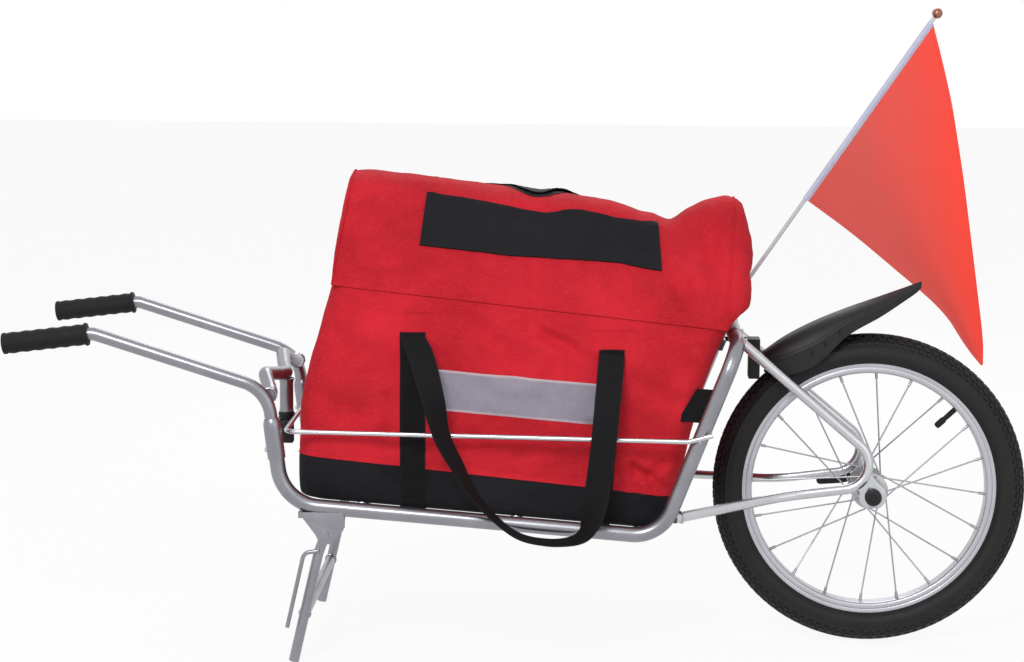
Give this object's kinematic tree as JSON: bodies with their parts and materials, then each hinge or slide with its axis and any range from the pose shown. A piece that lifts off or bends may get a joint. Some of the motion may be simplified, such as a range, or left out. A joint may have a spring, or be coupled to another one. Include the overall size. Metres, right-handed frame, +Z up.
{
  "type": "single wheel touring trailer",
  "caption": "Single wheel cycle and hand trailer with a bent tube frame, upswept handles, soft cargo bag, folding stand, laced wheel, mudguard and safety flag.",
  "frame": {"origin": "on the floor, under the middle of the trailer's overall box", "axes": "+X to the rear, towards the wheel; +Y to the right side; +Z up"},
  "size_m": [1.2766, 0.4078, 0.807],
  "materials": {
    "steel_tube": "bright satin",
    "aluminium": "polished",
    "black_plastic": "matte",
    "black_rubber": "matte",
    "tyre_rubber": "matte",
    "red_fabric": "woven",
    "black_fabric": "woven",
    "reflector": "woven reflective",
    "flag_cloth": "thin cloth",
    "white_pole": "gloss",
    "copper_ball": "gloss"
  },
  "bodies": {
    "frame": {"left_rail": "steel_tube", "right_rail": "steel_tube", "top_cross_tube": "steel_tube", "floor_tube_1": "steel_tube", "floor_tube_2": "steel_tube", "floor_tube_3": "steel_tube", "left_stay": "steel_tube", "right_stay": "steel_tube", "left_dropout": "steel_tube", "right_dropout": "steel_tube", "left_handle_tube": "steel_tube", "left_sleeve": "steel_tube", "left_grip": "black_rubber", "right_handle_tube": "steel_tube", "right_sleeve": "steel_tube", "right_grip": "black_rubber", "head_tube": "steel_tube", "yoke": "steel_tube", "head_collar": "black_plastic", "bag_hoop": "steel_tube", "left_stand_bracket": "steel_tube", "right_stand_bracket": "steel_tube", "mudguard_bracket": "black_plastic", "mudguard": "black_plastic", "axle": "steel_tube", "skewer": "steel_tube", "skewer_nut": "black_plastic", "bag_tray": "black_fabric", "bag_body": "red_fabric", "left_reflective_strip": "reflector", "right_reflective_strip": "reflector", "left_tie_strap": "black_fabric", "right_tie_strap": "black_fabric", "front_webbing": "black_fabric", "rear_webbing": "black_fabric", "flag_clip": "black_plastic"},
    "wheel": {"tyre": "tyre_rubber", "inner_tube": "black_rubber", "rim": "aluminium", "hub_and_spokes": "aluminium", "valve": "black_rubber", "left_bearing": "steel_tube", "right_bearing": "steel_tube"},
    "stand": {"stand_frame": "steel_tube", "kick_rod": "steel_tube"},
    "lever": {"quick_release_lever": "black_plastic"},
    "hitch": {"hitch_block": "black_plastic"},
    "knob": {"hitch_knob": "black_plastic"},
    "left_button": {"left_snap_button": "steel_tube"},
    "right_button": {"right_snap_button": "steel_tube"},
    "lid": {"bag_lid": "red_fabric", "left_window_panel": "black_fabric", "right_window_panel": "black_fabric"},
    "left_loop": {"left_carry_loop": "black_fabric"},
    "right_loop": {"right_carry_loop": "black_fabric"},
    "flag": {"flag_pole": "white_pole", "flag_ball": "copper_ball", "flag_hem": "white_pole", "flag_cloth": "flag_cloth"}
  },
  "joints": [
    {"name": "wheel_spin", "type": "hinge", "parent": "frame", "child": "wheel", "pos_m": [0.43927, 0, 0.199], "axis": [0, 1, 0], "continuous": true},
    {"name": "stand_fold", "type": "hinge", "parent": "frame", "child": "stand", "pos_m": [-0.24073, 0, 0.163], "axis": [0, -1, 0], "range_deg": [0, 92]},
    {"name": "quick_release", "type": "hinge", "parent": "frame", "child": "lever", "pos_m": [0.43927, 0.0808, 0.199], "axis": [0.1323, 0, -0.9912], "range_deg": [0, 170]},
    {"name": "hitch_swivel", "type": "hinge", "parent": "frame", "child": "hitch", "pos_m": [-0.30773, 0, 0.264], "axis": [0, 0, 1], "range_deg": [-80, 80]},
    {"name": "knob_turn", "type": "hinge", "parent": "hitch", "child": "knob", "pos_m": [-0.30773, -0.0095, 0.2709], "axis": [0, -1, 0], "continuous": true},
    {"name": "lid_hinge", "type": "hinge", "parent": "frame", "child": "lid", "pos_m": [-0.23573, 0, 0.4683], "axis": [0, -1, 0], "range_deg": [0, 95]},
    {"name": "flag_lift", "type": "slide", "parent": "frame", "child": "flag", "axis": [0.5629, 0, 0.8265], "range_m": [0, 0.03]},
    {"name": "left_button_press", "type": "slide", "parent": "frame", "child": "left_button", "axis": [0.9914, 0, 0.1305], "range_m": [0, 0.0025], "stiffness_N_per_m": 400},
    {"name": "left_loop_swing", "type": "hinge", "parent": "frame", "child": "left_loop", "pos_m": [-0.01273, -0.1452, 0.398], "axis": [-0.9967, 0, 0.0817], "range_deg": [0, 80]},
    {"name": "right_button_press", "type": "slide", "parent": "frame", "child": "right_button", "axis": [0.9914, 0, 0.1305], "range_m": [0, 0.0025], "stiffness_N_per_m": 400},
    {"name": "right_loop_swing", "type": "hinge", "parent": "frame", "child": "right_loop", "pos_m": [-0.01273, 0.1452, 0.398], "axis": [0.9967, 0, -0.0817], "range_deg": [0, 80]}
  ]
}
